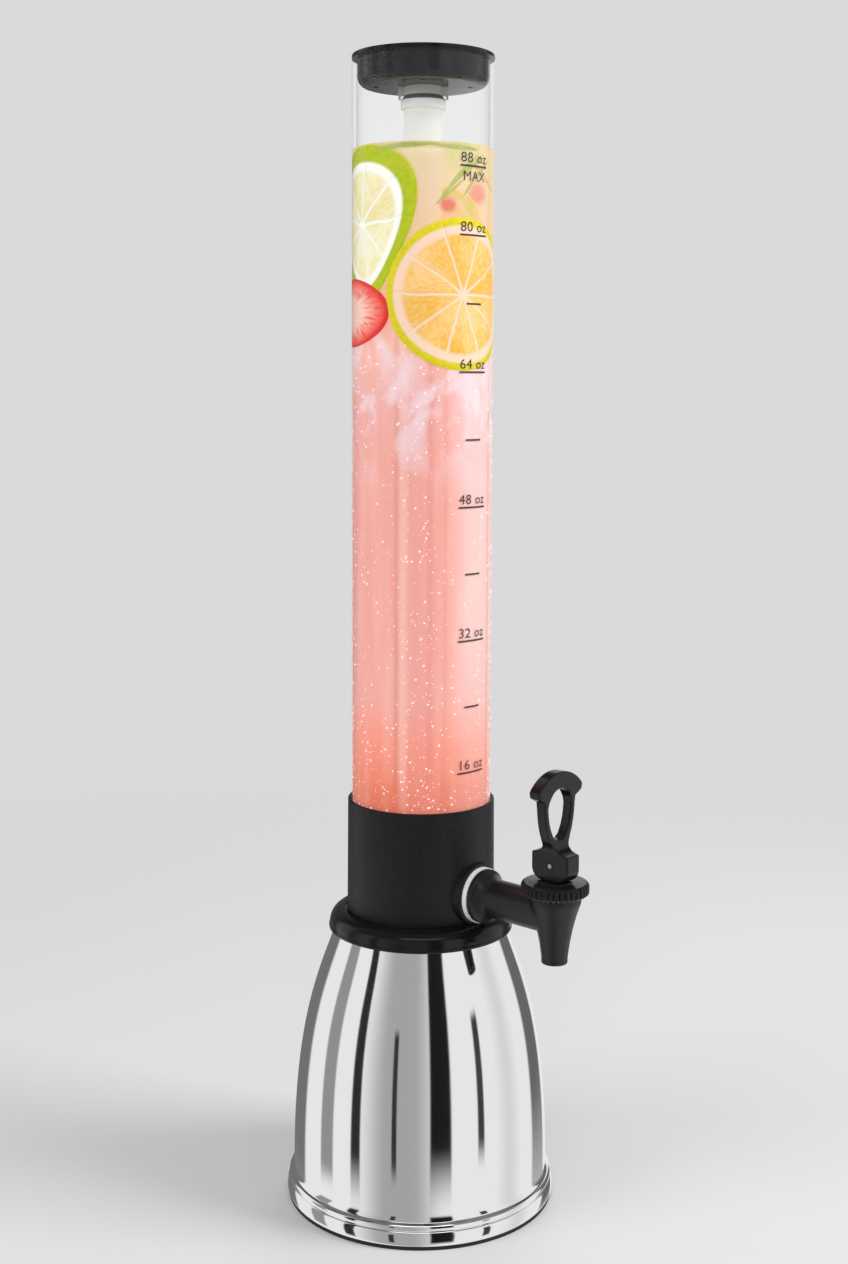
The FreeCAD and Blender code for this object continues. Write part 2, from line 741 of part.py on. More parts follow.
def make_core_gasket():
    """Grey gasket, wider below, between the socket and the ice tube's ring."""
    top = lid_floor_z - core_socket_height
    low = top - core_gasket_height
    hole_r = core_neck_r + thread_gap
    return turned([(hole_r, low), (core_neck_ring_r, low), (core_socket_r, top), (hole_r, top)])


def make_ice_core():
    """Closed clear tube for ice: round end, ring at the neck and a threaded mouth."""
    core_r = core_d / 2
    bore_r = core_r - core_wall
    ring_top = lid_floor_z - core_socket_height - core_gasket_height
    ring_z = ring_top - core_neck_ring_height
    mouth_z = ring_top + core_neck_height
    mouth_r = core_neck_r - core_wall
    low = floor_z + core_floor_gap
    end = bend([(0, low), (core_r, low), (core_r, low + core_r)], core_end_steps)
    outer = turned(end + [
        (core_r, ring_z), (core_neck_ring_r, ring_z), (core_neck_ring_r, ring_top),
        (core_neck_r, ring_top), (core_neck_r, mouth_z), (0, mouth_z)])
    inner_end = bend([(0, low + core_wall), (bore_r, low + core_wall),
                      (bore_r, low + core_wall + bore_r)], core_end_steps)
    inner = turned(inner_end + [
        (bore_r, ring_z), (mouth_r, ring_top - core_wall), (mouth_r, mouth_z + 1),
        (0, mouth_z + 1)])
    return outer.cut(inner)


PIECES = {
    "foot_ring": make_foot_ring,
    "bell_base": make_bell_base,
    "base_gasket": make_base_gasket,
    "base_cap": make_base_cap,
    "clamp_plate": make_clamp_plate,
    "lock_washer": make_lock_washer,
    "tie_stud": make_tie_stud,
    "hand_nut": make_hand_nut,
    "collar": make_collar,
    "threaded_insert": make_threaded_insert,
    "tube_seal": make_tube_seal,
    "tower_tube": make_tower_tube,
    "outer_washer": make_outer_washer,
    "inner_washer": make_inner_washer,
    "faucet_nut": make_faucet_nut,
    "faucet_body": make_faucet_body,
    "seat_cup": make_seat_cup,
    "stem": make_stem,
    "bonnet": make_bonnet,
    "handle": make_handle,
    "handle_pin": make_handle_pin,
    "lid": make_lid,
    "core_socket": make_core_socket,
    "socket_nut": make_socket_nut,
    "core_gasket": make_core_gasket,
    "ice_core": make_ice_core,
}

os.makedirs("parts", exist_ok=True)
for node, make in PIECES.items():
    shape = make()
    if isinstance(shape, Part.Compound) and len(shape.Solids) == 1:
        shape = shape.Solids[0]
    print(node, "valid", shape.isValid(), "solids", len(shape.Solids),
          "volume %.0f" % shape.Volume, "box", [round(v, 1) for v in (
              shape.BoundBox.XMin, shape.BoundBox.YMin, shape.BoundBox.ZMin,
              shape.BoundBox.XMax, shape.BoundBox.YMax, shape.BoundBox.ZMax)])
    shape.exportStep("parts/" + node + ".step")
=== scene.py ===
import math
import random

import bmesh
import bpy
from mathutils import Matrix, Vector
from mathutils.geometry import interpolate_bezier


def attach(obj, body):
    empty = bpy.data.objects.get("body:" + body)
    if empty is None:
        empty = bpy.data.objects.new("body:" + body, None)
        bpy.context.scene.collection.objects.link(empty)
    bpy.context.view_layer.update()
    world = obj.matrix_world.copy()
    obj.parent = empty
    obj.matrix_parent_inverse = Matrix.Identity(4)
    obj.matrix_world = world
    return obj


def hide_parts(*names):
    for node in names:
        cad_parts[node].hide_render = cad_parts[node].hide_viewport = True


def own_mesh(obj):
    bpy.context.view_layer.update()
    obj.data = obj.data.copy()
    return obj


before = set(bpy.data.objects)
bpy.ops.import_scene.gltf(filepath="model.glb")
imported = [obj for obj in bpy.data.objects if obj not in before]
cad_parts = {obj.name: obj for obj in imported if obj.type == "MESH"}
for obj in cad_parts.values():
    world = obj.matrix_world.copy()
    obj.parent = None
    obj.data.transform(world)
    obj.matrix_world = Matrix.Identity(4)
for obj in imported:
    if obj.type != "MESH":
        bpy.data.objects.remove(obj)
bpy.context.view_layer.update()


# The studio. The tower stands on a seamless pale grey sweep under soft lamps, and its
# mirror-bright base shows the dark flags and grey walls that stand round it. The camera
# is at the height of the tube's middle, a little above level with it.

mm = 0.001


def srgb(red, green, blue):
    """A colour that is written in the 0 to 255 values of a screen."""
    return tuple((v / 255 / 12.92) if v <= 10 else ((v / 255 + 0.055) / 1.055) ** 2.4
                 for v in (red, green, blue))


class Wire:
    """An output socket in a sum: each operator adds the Math node that it stands for."""

    def __init__(self, board, socket):
        self.board = board
        self.socket = socket

    def math(self, operation, first, second=0.0, third=0.0):
        return self.board.node("Math", 0, {0: first, 1: second, 2: third}, operation=operation)

    def __add__(self, other):
        return self.math("ADD", self, other)

    def __radd__(self, other):
        return self.math("ADD", other, self)

    def __sub__(self, other):
        return self.math("SUBTRACT", self, other)

    def __rsub__(self, other):
        return self.math("SUBTRACT", other, self)

    def __mul__(self, other):
        return self.math("MULTIPLY", self, other)

    def __rmul__(self, other):
        return self.math("MULTIPLY", other, self)

    def __truediv__(self, other):
        return self.math("DIVIDE", self, other)

    def __rtruediv__(self, other):
        return self.math("DIVIDE", other, self)

    def __pow__(self, other):
        return self.math("POWER", self, other)

    def __neg__(self):
        return self.math("MULTIPLY", self, -1.0)

    def size(self):
        return self.math("ABSOLUTE", self)

    def top(self, other):
        return self.math("MAXIMUM", self, other)


class Board:
    """A tree of shader nodes. Its one node method makes, sets and wires every node."""

    def __init__(self, tree):
        self.tree = tree

    def feed(self, node, inputs):
        for key, value in inputs.items():
            socket = node.inputs[key]
            if isinstance(value, Wire):
                self.tree.links.new(value.socket, socket)
            elif socket.type == "RGBA" and len(value) == 3:
                socket.default_value = (*value, 1.0)
            else:
                socket.default_value = value

    def node(self, kind, out, inputs, **settings):
        node = self.tree.nodes.new("ShaderNode" + kind)
        for key, value in settings.items():
            if key == "stops":
                ramp = node.color_ramp.elements
                while len(ramp) < len(value):
                    ramp.new(0.5)
                for stop, (spot, colour) in zip(ramp, value):
                    stop.position = spot
                    stop.color = (*colour, 1.0)
            else:
                setattr(node, key, value)
        self.feed(node, inputs)
        return Wire(self, node.outputs[out])

    def rise(self, value, low, high):
        """0 below low and 1 above high, with a soft step between them."""
        return self.node("MapRange", 0, {0: value, 1: low, 2: high, 3: 0.0, 4: 1.0},
                         interpolation_type="SMOOTHSTEP")

    def mix(self, share, first, second):
        return self.node("Mix", 2, {0: share, 6: first, 7: second}, data_type="RGBA")

    def ramp(self, value, *stops):
        return self.node("ValToRGB", 0, {0: value}, stops=stops)

    def parts(self, vector):
        return [self.node("SeparateXYZ", k, {0: vector}) for k in range(3)]

    def around(self, vector):
        """Degrees round the tower from the tap's side, positive towards +X."""
        x, y, _ = self.parts(vector)
        return x.math("ARCTAN2", x, -y) * (180 / math.pi)

    def band(self, angle, centre, half, soft):
        """1 within half degrees of centre, all round the circle, with a soft edge."""
        off = angle.math("WRAP", angle - centre, 180.0, -180.0)
        return 1 - self.rise(off.size(), half - soft, half + soft)


class Finish(Board):
    """A procedural material: one Principled shader and what feeds it."""

    def __init__(self, name, colour, roughness, metallic=0.0, **more):
        self.material = bpy.data.materials.new(name)
        self.material.use_nodes = True
        super().__init__(self.material.node_tree)
        self.shader = self.tree.nodes["Principled BSDF"]
        self.set(Base_Color=colour, Roughness=roughness, Metallic=metallic, **more)

    def set(self, **inputs):
        self.feed(self.shader, {key.replace("_", " "): value for key, value in inputs.items()})

    def place(self):
        return self.node("TexCoord", "Object", {})

    def noise(self, vector, scale, detail=3.0, out=0, **more):
        return self.node("TexNoise", out, {"Vector": vector, "Scale": scale, "Detail": detail,
                                           **more})

    def stretch(self, vector, x, y, z):
        return self.node("Mapping", 0, {"Vector": vector, "Scale": (x, y, z)})

    def bump(self, height, distance, strength=1.0):
        self.set(Normal=self.node("Bump", 0, {"Height": height, "Distance": distance,
                                              "Strength": strength}))


def mesh_of(name, bm):
    """Turn a finished bmesh into a mesh."""
    mesh = bpy.data.meshes.new(name)
    bm.to_mesh(mesh)
    bm.free()
    return mesh


lens_turn = math.radians(-48.0)
lens_dip = math.radians(4.974)
lens_roll = 0.0034
lens_high = 0.5523
stand_off = 1.1273
lens = bpy.data.cameras.new("camera")
lens.lens = 48.6
lens.sensor_width = 36.0
lens.shift_y = -0.0847
lens.clip_end = 30.0
camera = bpy.data.objects.new("camera", lens)
aim = (Matrix.Rotation(lens_turn, 4, "Z")
       @ Matrix.Rotation(math.pi / 2 - lens_dip, 4, "X")
       @ Matrix.Rotation(lens_roll, 4, "Z"))
camera.location = (stand_off * math.sin(lens_turn) + 0.0009,
                   -stand_off * math.cos(lens_turn) - 0.0010, lens_high)
camera.rotation_euler = aim.to_euler()
bpy.context.collection.objects.link(camera)
bpy.context.scene.camera = camera
bpy.context.scene.view_settings.view_transform = "Standard"

sky = bpy.data.worlds.new("studio")
bpy.context.scene.world = sky
sky.use_nodes = True
room = Board(sky.node_tree)
look = room.node("TexCoord", "Generated", {})
turn = room.around(look)
height = room.parts(look)[2]
backdrop = 0.70
through_lift = 0.27
soft_light = 0.40
walls = 0.84 - 0.46 * room.band(turn, -66.0, 27.0, 16.0)
walls = walls * (1 - 0.18 * room.band(turn, 40.0, 9.0, 9.0))
flags = ((-29.5, 9.6, 1.2, 0.985, -0.46, -0.30, 1.4, 1.5),
         (-107.5, 4.8, 0.9, 0.97, -0.46, -0.34, 1.4, 1.5),
         (-71.0, 2.2, 0.5, 0.92, -0.40, -0.34, 0.10, 0.16),
         (8.5, 3.2, 0.5, 0.95, -0.38, -0.30, 0.12, 0.18),
         (-140.5, 8.0, 1.2, 0.66, -0.43, -0.39, 1.4, 1.5),
         (158.0, 26.0, 3.0, 0.80, -0.60, -0.40, 1.4, 1.5),
         (89.5, 14.5, 2.5, 0.84, -0.60, -0.30, 1.4, 1.5))
for centre, half, soft, dark, foot, foot_end, head, head_end in flags:
    tall = room.rise(height, foot, foot_end) * (1 - room.rise(height, head, head_end))
    walls = walls * (1 - dark * room.band(turn, centre, half, soft) * tall)
walls = walls * (1 - 0.72 * room.rise(height, 0.42, 0.66))
softbox = room.band(turn, -46.0, 34.0, 3.0) * room.rise(height, 0.70, 0.73)
walls = walls + 1.8 * softbox * (1 - room.rise(height, 0.84, 0.87))
ray = sky.node_tree.nodes.new("ShaderNodeLightPath")
through_wall = Wire(room, ray.outputs["Is Transmission Ray"])
seen = Wire(room, ray.outputs["Is Camera Ray"]).top(through_wall)
gloss = Wire(room, ray.outputs["Is Glossy Ray"])
level = (seen * (backdrop + through_lift * through_wall)
         + (1 - seen) * (gloss * walls + (1 - gloss) * soft_light))
room.feed(sky.node_tree.nodes["Background"], {"Color": (1.0, 1.0, 1.0), "Strength": level})

for name, side, high, away, power, wide in (("key", 76.0, 1.9, 2.3, 57.0, 1.3),
                                            ("fill", -60.0, 1.4, 1.8, 15.0, 1.2),
                                            ("front", -6.0, 1.4, 2.1, 10.0, 1.2),
                                            ("back", 170.0, 1.5, 1.5, 7.0, 1.0)):
    lamp = bpy.data.lights.new(name, "AREA")
    lamp.energy = power
    lamp.size = wide
    stand = bpy.data.objects.new(name, lamp)
    way = lens_turn + math.radians(side)
    stand.location = (away * math.sin(way), -away * math.cos(way), high)
    stand.rotation_euler = (stand.location - Vector((0, 0, 0.3))).to_track_quat("Z", "Y").to_euler()
    stand.visible_glossy = False
    stand.visible_camera = False
    bpy.context.collection.objects.link(stand)

sweep = bmesh.new()
bmesh.ops.create_circle(sweep, cap_ends=True, segments=96, radius=4.0)
sweep_mesh = mesh_of("sweep", sweep)
paper = Finish("sweep_paper", (0.70, 0.70, 0.70), 0.9, Specular_IOR_Level=0.0)
spot = paper.place()
far = paper.node("VectorMath", 1, {0: spot}, operation="LENGTH")
paper_ray = paper.tree.nodes.new("ShaderNodeLightPath")
fade_start, fade_end = 0.42, 1.35
shown = ((1 - paper.rise(far, fade_start, fade_end))
         * (1 - Wire(paper, paper_ray.outputs["Is Glossy Ray"])))
clear = paper.node("BsdfTransparent", 0, {})
blend = paper.node("MixShader", 0, {0: shown, 1: clear, 2: Wire(paper, paper.shader.outputs[0])})
paper.tree.links.new(blend.socket, paper.tree.nodes["Material Output"].inputs["Surface"])
sweep_mesh.materials.append(paper.material)
floor = bpy.data.objects.new("sweep", sweep_mesh)
bpy.context.collection.objects.link(floor)


# Foot ring. A moulded rubber ring under the base's hem, which keeps the tower from
# sliding and the hem off the table. It is pushed into the hem and held by its own grip.

def dress(node, finish):
    """Give a node of the frame its finish."""
    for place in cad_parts[node].material_slots:
        place.material = finish.material


rubber = Finish("foot_rubber", srgb(38, 38, 39), 0.78, Specular_IOR_Level=0.35)
rubber_place = rubber.place()
rubber_grain = rubber.noise(rubber_place, 900.0, 2.0)
rubber.set(Base_Color=rubber.mix(rubber.noise(rubber_place, 60.0), srgb(30, 30, 31),
                                 srgb(48, 47, 46)),
           Roughness=0.70 + 0.16 * rubber_grain)
rubber.bump(rubber_grain, 0.0002, 0.5)
dress("foot_ring", rubber)


# Bell base. Stainless sheet that is spun to a tall bell and mirror polished. A hemmed
# band stands on the rubber, a rolled bead runs above it, and the crown is flat.

def lathe(corners, steps=144):
    """Spin an outline of (radius, height) in mm about Z. A third number rounds the corner."""
    bm = bmesh.new()
    line = [bm.verts.new((corner[0] * mm, 0, corner[1] * mm)) for corner in corners]
    for start, end in zip(line, line[1:]):
        bm.edges.new((start, end))
    bmesh.ops.spin(bm, geom=bm.verts[:] + bm.edges[:], cent=(0, 0, 0), axis=(0, 0, 1),
                   angle=math.tau, steps=steps, use_merge=True)
    bmesh.ops.remove_doubles(bm, verts=bm.verts[:], dist=1e-6)
    bmesh.ops.recalc_face_normals(bm, faces=bm.faces[:])
    for corner in corners:
        if len(corner) == 3:
            reach, high, soft = corner
            rim = [e for e in bm.edges
                   if all(abs(v.co.xy.length - reach * mm) < 2e-6
                          and abs(v.co.z - high * mm) < 2e-6 for v in e.verts)]
            bmesh.ops.bevel(bm, geom=rim, offset=soft * mm, segments=4, affect="EDGES",
                            profile=0.5, material=-1, clamp_overlap=True)
    return bm


def sweep_line(start, first, second, end, points):
    """Points of an outline along a Bezier curve, its start and end with them."""
    curve = interpolate_bezier(*[(*pole, 0) for pole in (start, first, second, end)], points)
    return [(spot[0], spot[1]) for spot in curve]


def piece(name, bm, finish, body="tower", stands_for=(), sharp=38.0):
    """Make a finished object of a bmesh, and say what it rides on and stands for."""
    mesh = mesh_of(name, bm)
    mesh.shade_smooth()
    mesh.set_sharp_from_angle(angle=math.radians(sharp))
    mesh.materials.append(finish.material)
    made = bpy.data.objects.new(name, mesh)
    bpy.context.collection.objects.link(made)
    if stands_for:
        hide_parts(*stands_for)
    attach(made, body)
    return made


mirror = Finish("polished_steel", (0.93, 0.935, 0.94), 0.045, 1.0)
mirror_place = mirror.place()
polish = mirror.noise(mirror.stretch(mirror_place, 1.0, 1.0, 0.12), 260.0, 4.0)
mirror.set(Roughness=0.035 + 0.05 * polish)
mirror.bump(mirror.noise(mirror.stretch(mirror_place, 1.0, 1.0, 0.3), 16.0, 1.0), 0.0006, 0.25)
bell_side = sweep_line((85.64, 22.0), (85.24, 122.6), (67.77, 152.3), (56.47, 186.0), 44)
bell_sheet = 1.2
stud_hole = 4.4
bell_foot = [(84.0, 2.3), (89.4, 2.3, 0.5), (90.1, 3.6, 0.5), (89.8, 8.4), (88.8, 11.2, 0.6),
             (88.0, 11.7), (88.9, 12.5, 0.4), (88.9, 14.8, 0.7), (87.7, 16.0, 0.3)]
bell_cove = sweep_line((86.6, 16.2), (85.6, 17.2), (85.64, 19.5), (85.64, 22.0), 6)
bell_crown = sweep_line((56.47, 186.0), (55.3, 189.4), (53.2, 190.9), (49.5, 190.95), 8)
bell = lathe(bell_foot + bell_cove[:-1] + bell_side[:-1] + bell_crown + [(stud_hole, 190.95)],
             192)
bmesh.ops.solidify(bell, geom=bell.faces[:], thickness=bell_sheet * mm)
piece("bell_shell", bell, mirror, stands_for=["bell_base"], sharp=50.0)


# Cap. A thin rubber gasket and a glossy moulded cap close the bell's crown. The cap's
# rolled rim hangs over the shoulder of the bell, and the collar stands in its channel.

dress("base_gasket", rubber)
gloss_black = Finish("gloss_black", srgb(20, 20, 21), 0.16, Specular_IOR_Level=0.3)
gloss_place = gloss_black.place()
gloss_black.set(Base_Color=gloss_black.mix(gloss_black.noise(gloss_place, 9.0), srgb(15, 15, 16),
                                           srgb(25, 25, 26)),
                Roughness=0.12 + 0.12 * gloss_black.noise(gloss_place, 120.0, 4.0))
gloss_black.bump(gloss_black.noise(gloss_place, 34.0, 2.0), 0.0004, 0.12)
cap_roll = sweep_line((51.0, 196.0), (57.6, 196.0), (61.4, 192.2), (61.4, 185.6), 16)
cap_under = sweep_line((59.4, 183.3), (59.4, 188.0), (56.5, 192.0), (51.0, 192.1), 10)
cap_hole = 19.0
cap = lathe([(cap_hole, 192.1), (cap_hole, 194.4), (50.6, 194.4), (50.8, 195.4)] + cap_roll
            + [(61.8, 185.3, 0.3), (61.8, 183.3, 0.5)] + cap_under + [(cap_hole, 192.1)], 160)
piece("cap_rim", cap, gloss_black, stands_for=["base_cap"])


# Clamp inside the bell. A zinc-plated plate, stud and washer pull the base up to the
# collar, and a lobed moulded nut is turned by hand from below.

zinc = Finish("zinc_plate", srgb(176, 178, 180), 0.34, 1.0)
zinc_place = zinc.place()
spangle = zinc.node("TexVoronoi", "Distance", {"Vector": zinc_place, "Scale": 420.0})
zinc.set(Base_Color=zinc.mix(spangle, srgb(158, 161, 165), srgb(196, 197, 196)),
         Roughness=0.26 + 0.22 * zinc.noise(zinc_place, 300.0))
zinc.bump(spangle, 0.00008, 0.4)
for steel_part in ("clamp_plate", "lock_washer", "tie_stud"):
    dress(steel_part, zinc)

spark = Finish("spark_black", srgb(34, 34, 35), 0.44, Specular_IOR_Level=0.28)
spark_place = spark.place()
pits = spark.node("TexVoronoi", "Distance", {"Vector": spark_place, "Scale": 1500.0})
drift = spark.noise(spark_place, 420.0, 4.0)
spark.set(Base_Color=spark.mix(drift, srgb(9, 9, 10), srgb(33, 33, 34)),
          Roughness=0.34 + 0.20 * drift)
spark.bump(pits * 0.6 + drift, 0.00022, 0.55)
dress("hand_nut", spark)


# Collar. One black moulding with a fine spark-eroded texture. The tube stands in its
# socket, a brass insert in its floor takes the stud, and its port carries the tap.

brass = Finish("brass", srgb(186, 154, 92), 0.3, 1.0)
brass_turned = brass.noise(brass.stretch(brass.place(), 1.0, 1.0, 30.0), 120.0)
brass.set(Roughness=0.22 + 0.2 * brass_turned)
dress("threaded_insert", brass)

bore = 43.5
socket = 46.65
ledge = 238.0
collar_foot = 194.5
collar_head = 271.0
collar_floor = 199.0
collar = lathe([(0, collar_foot), (49.4, collar_foot, 0.4), (49.0, collar_head, 0.7),
                (socket, collar_head, 0.5), (socket, ledge), (bore, ledge),
                (bore, collar_floor), (0, collar_floor)], 192)
port_reach = 20.3
port_face = 52.0
port_high = 214.4
upright = Matrix.Rotation(math.pi / 2, 3, "X")
port = lathe([(0, 36.0), (port_reach, 36.0), (port_reach, port_face, 1.1), (0, port_face)], 96)
bmesh.ops.rotate(port, verts=port.verts[:], cent=(0, 0, 0), matrix=upright)
bmesh.ops.translate(port, verts=port.verts[:], vec=(0, 0, port_high * mm))
cut = bmesh.ops.bisect_plane(port, geom=port.verts[:] + port.edges[:] + port.faces[:], dist=1e-6,
                             plane_co=(0, 0, 196.2 * mm), plane_no=(0, 0, -1), clear_outer=True)
bmesh.ops.holes_fill(port, edges=[e for e in cut["geom_cut"] if isinstance(e, bmesh.types.BMEdge)])
collar.from_mesh(mesh_of("port", port))
piece("collar_moulding", collar, spark, stands_for=["collar"])


# Tube. Clear extruded polycarbonate with polished ends, on a silicone ring at the foot
# of the collar's socket. It is pushed in dry, so it lifts out for washing.

silicone = Finish("clear_silicone", srgb(228, 229, 226), 0.42, Alpha=0.75)
silicone.set(Roughness=0.36 + 0.2 * silicone.noise(silicone.place(), 220.0))
dress("tube_seal", silicone)

clear_wall = Finish("clear_tube", srgb(150, 156, 158), 0.05, Specular_IOR_Level=0.5)
edge_on = clear_wall.node("LayerWeight", "Facing", {"Blend": 0.5})
facing_gloss = 0.035
edge_gloss = 0.45
haze = clear_wall.noise(clear_wall.stretch(clear_wall.place(), 1.0, 1.0, 0.15), 90.0)
clear_wall.set(Roughness=0.03 + 0.05 * haze)
passing = clear_wall.tree.nodes.new("ShaderNodeLightPath")
pane = clear_wall.node("MixShader", 0, {
    0: Wire(clear_wall, passing.outputs["Is Camera Ray"]),
    1: clear_wall.node("BsdfTransparent", 0, {"Color": (0.985, 0.99, 0.99)}),
    2: clear_wall.node("BsdfRefraction", 0, {"Color": (0.99, 0.99, 0.99), "IOR": 1.001,
                                             "Roughness": 0.0})})
gloss_share = facing_gloss + edge_gloss * edge_on ** 5.0
through = clear_wall.node("MixShader", 0, {0: gloss_share, 1: pane,
                                          2: Wire(clear_wall, clear_wall.shader.outputs[0])})
clear_wall.tree.links.new(through.socket,
                          clear_wall.tree.nodes["Material Output"].inputs["Surface"])
tube_reach = 46.5
tube_foot = 239.5
tube_head = 756.5
tube = lathe([(bore, tube_foot), (tube_reach, tube_foot), (tube_reach, tube_head, 0.6),
              (bore, tube_head, 0.6), (bore, tube_foot)], 160)
piece("tube_wall", tube, clear_wall, stands_for=["tower_tube"])


# Volume scale. A generic scale in fluid ounces is screen printed on the outside of the
# tube, on the side of the tap: a long line and a number at each 16, a short one between.

ink = Finish("scale_ink", srgb(62, 50, 46), 0.55)
ink.set(Base_Color=ink.mix(ink.noise(ink.place(), 700.0), srgb(50, 42, 40), srgb(86, 68, 62)))
print_reach = 46.6 * mm
scale_foot = 209.14
ounce = 5.4057
scale_middle = -3.0
long_half = 14.75
short_half = 8.25
letter_size = 8.9


def wrap(bm, reach, middle, high):
    """Bend a flat print in X and Z round the tube, its X = 0 at middle degrees from the tap."""
    for v in bm.verts:
        way = math.radians(middle) + v.co.x / reach
        out = reach + v.co.y
        v.co = (out * math.sin(way), -out * math.cos(way), v.co.z + high * mm)


def print_line(bm, half_wide, thick=1.15):
    """Add one printed line, half_wide degrees to each side of its middle."""
    strip = bmesh.ops.create_grid(bm, x_segments=12, y_segments=1, size=0.5)["verts"]
    long = 2 * math.radians(half_wide) * print_reach
    bmesh.ops.scale(bm, verts=strip, vec=(long, thick * mm, 1))
    bmesh.ops.rotate(bm, verts=strip, cent=(0, 0, 0), matrix=upright)


marks = bmesh.new()
for volume in (16, 24, 32, 40, 48, 56, 64, 72, 80, 88):
    long_line = volume % 16 == 0 or volume == 88
    strip = bmesh.new()
    print_line(strip, long_half if long_line else short_half)
    wrap(strip, print_reach, scale_middle, scale_foot + ounce * volume)
    marks.from_mesh(mesh_of("strip", strip))
prints = [("%d oz" % volume, volume, 1.11, 2.2) for volume in (16, 32, 48, 64, 80, 88)]
prints.append(("MAX", 88, 1.00, -9.4))
for words, volume, widen, above in prints:
    letters = bpy.data.curves.new("letters", "FONT")
    letters.body = words
    letters.size = letter_size * mm
    letters.space_character = 1.06
    letters.align_x = "CENTER"
    letters.resolution_u = 4
    lettered = bpy.data.objects.new("letters", letters)
    bpy.context.collection.objects.link(lettered)
    bpy.context.view_layer.update()
    flat = bpy.data.meshes.new_from_object(lettered)
    bpy.data.objects.remove(lettered)
    print_mesh = bmesh.new()
    print_mesh.from_mesh(flat)
    bmesh.ops.scale(print_mesh, verts=print_mesh.verts[:], vec=(widen, 1.0, 1))
    bmesh.ops.rotate(print_mesh, verts=print_mesh.verts[:], cent=(0, 0, 0), matrix=upright)
    wrap(print_mesh, print_reach, scale_middle, scale_foot + ounce * volume + above)
    marks.from_mesh(mesh_of("words", print_mesh))
piece("volume_scale", marks, ink)


# Tap body. A white silicone washer seals it to the port, and a nut inside the collar
# pulls it tight. Shank and spout are one satin black moulding with a soft-edged flare.

white_silicone = Finish("white_silicone", srgb(236, 236, 232), 0.42)
white_silicone.set(Roughness=0.36 + 0.16 * white_silicone.noise(white_silicone.place(), 260.0))
dress("outer_washer", white_silicone)
dress("inner_washer", white_silicone)
dress("faucet_nut", spark)

satin = Finish("satin_black", srgb(27, 27, 28), 0.34, Specular_IOR_Level=0.42)
satin_place = satin.place()
satin_grain = satin.noise(satin_place, 1400.0, 3.0)
satin.set(Base_Color=satin.mix(satin.noise(satin_place, 30.0), srgb(17, 17, 18), srgb(30, 30, 31)),
          Roughness=0.28 + 0.14 * satin_grain)
satin.bump(satin_grain, 0.00008, 0.4)


def moulded(name, node, finish, body, voxel, passes, factor=0.5):
    """Round a node of the frame as a mould does: close it up, remesh it and smooth it."""
    copy = bmesh.new()
    copy.from_mesh(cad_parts[node].data)
    bmesh.ops.remove_doubles(copy, verts=copy.verts[:], dist=1e-6)
    block = bpy.data.objects.new(name + "_block", mesh_of(name + "_rough", copy))
    bpy.context.collection.objects.link(block)
    fill = block.modifiers.new("fill", "REMESH")
    fill.mode = "VOXEL"
    fill.voxel_size = voxel * mm
    soften = block.modifiers.new("soften", "SMOOTH")
    soften.factor = factor
    soften.iterations = passes
    bpy.context.view_layer.update()
    smooth = bpy.data.meshes.new_from_object(
        block.evaluated_get(bpy.context.evaluated_depsgraph_get()))
    bpy.data.objects.remove(block)
    made = bmesh.new()
    made.from_mesh(smooth)
    return piece(name, made, finish, body, [node], sharp=75.0)


moulded("tap_body", "faucet_body", satin, "tower", 0.55, 6)


# Valve. A soft silicone cup closes the seat, a nylon stem lifts it, and a screwed
# bonnet with a knurled rim holds both in the body. The stem comes up through the boss.

cup = bmesh.new()
cup.from_mesh(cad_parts["seat_cup"].data)
bmesh.ops.remove_doubles(cup, verts=cup.verts[:], dist=1e-6)
cup_piece = piece("valve_cup", cup, silicone, "tower", ["seat_cup"])
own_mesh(cup_piece)
nylon = Finish("white_nylon", srgb(238, 238, 234), 0.38)
nylon_place = nylon.place()
nylon.set(Base_Color=nylon.mix(nylon.noise(nylon_place, 60.0), srgb(228, 228, 224),
                               srgb(244, 244, 241)),
          Roughness=0.32 + 0.14 * nylon.noise(nylon_place, 400.0))
dress("stem", nylon)

spout_out = -114.0 * mm
flutes = 36
flute_root = 18.6 * mm
flute_run = 2.4 * mm
flute_deep = 0.052
bonnet = lathe([(3.1, 226.2), (5.4, 226.2), (5.4, 232.7), (17.5, 232.7), (17.5, 227.5),
                (19.4, 227.5), (21.6, 229.2, 0.6), (21.6, 234.4, 0.7), (20.1, 235.9, 0.6),
                (11.0, 235.9, 0.3), (11.0, 236.7, 0.3), (3.1, 236.7), (3.1, 226.2)], flutes * 8)
for v in bonnet.verts:
    reach = v.co.xy.length
    if reach > flute_root:
        wave = 0.5 - 0.5 * math.cos(flutes * math.atan2(v.co.y, v.co.x))
        depth = min(1.0, (reach - flute_root) / flute_run)
        v.co.xy *= 1 - flute_deep * depth * wave ** 2.2
bmesh.ops.translate(bonnet, verts=bonnet.verts[:], vec=(0, spout_out, 0))
piece("bonnet_cap", bonnet, gloss_black, stands_for=["bonnet"])


# Lever. A glossy moulded ring with a broad arched head and a cam block at its foot. A
# steel pin hangs it on the stem, so that tilting it rolls the cam and lifts the stem.

moulded("lever_ring", "handle", gloss_black, "lever", 0.42, 14)
dress("handle_pin", zinc)


# Lid. A black moulded cup that drops into the tube's mouth, with four vents in its
# floor and a grip bar across a hub inside it. It lifts out with the ice tube.

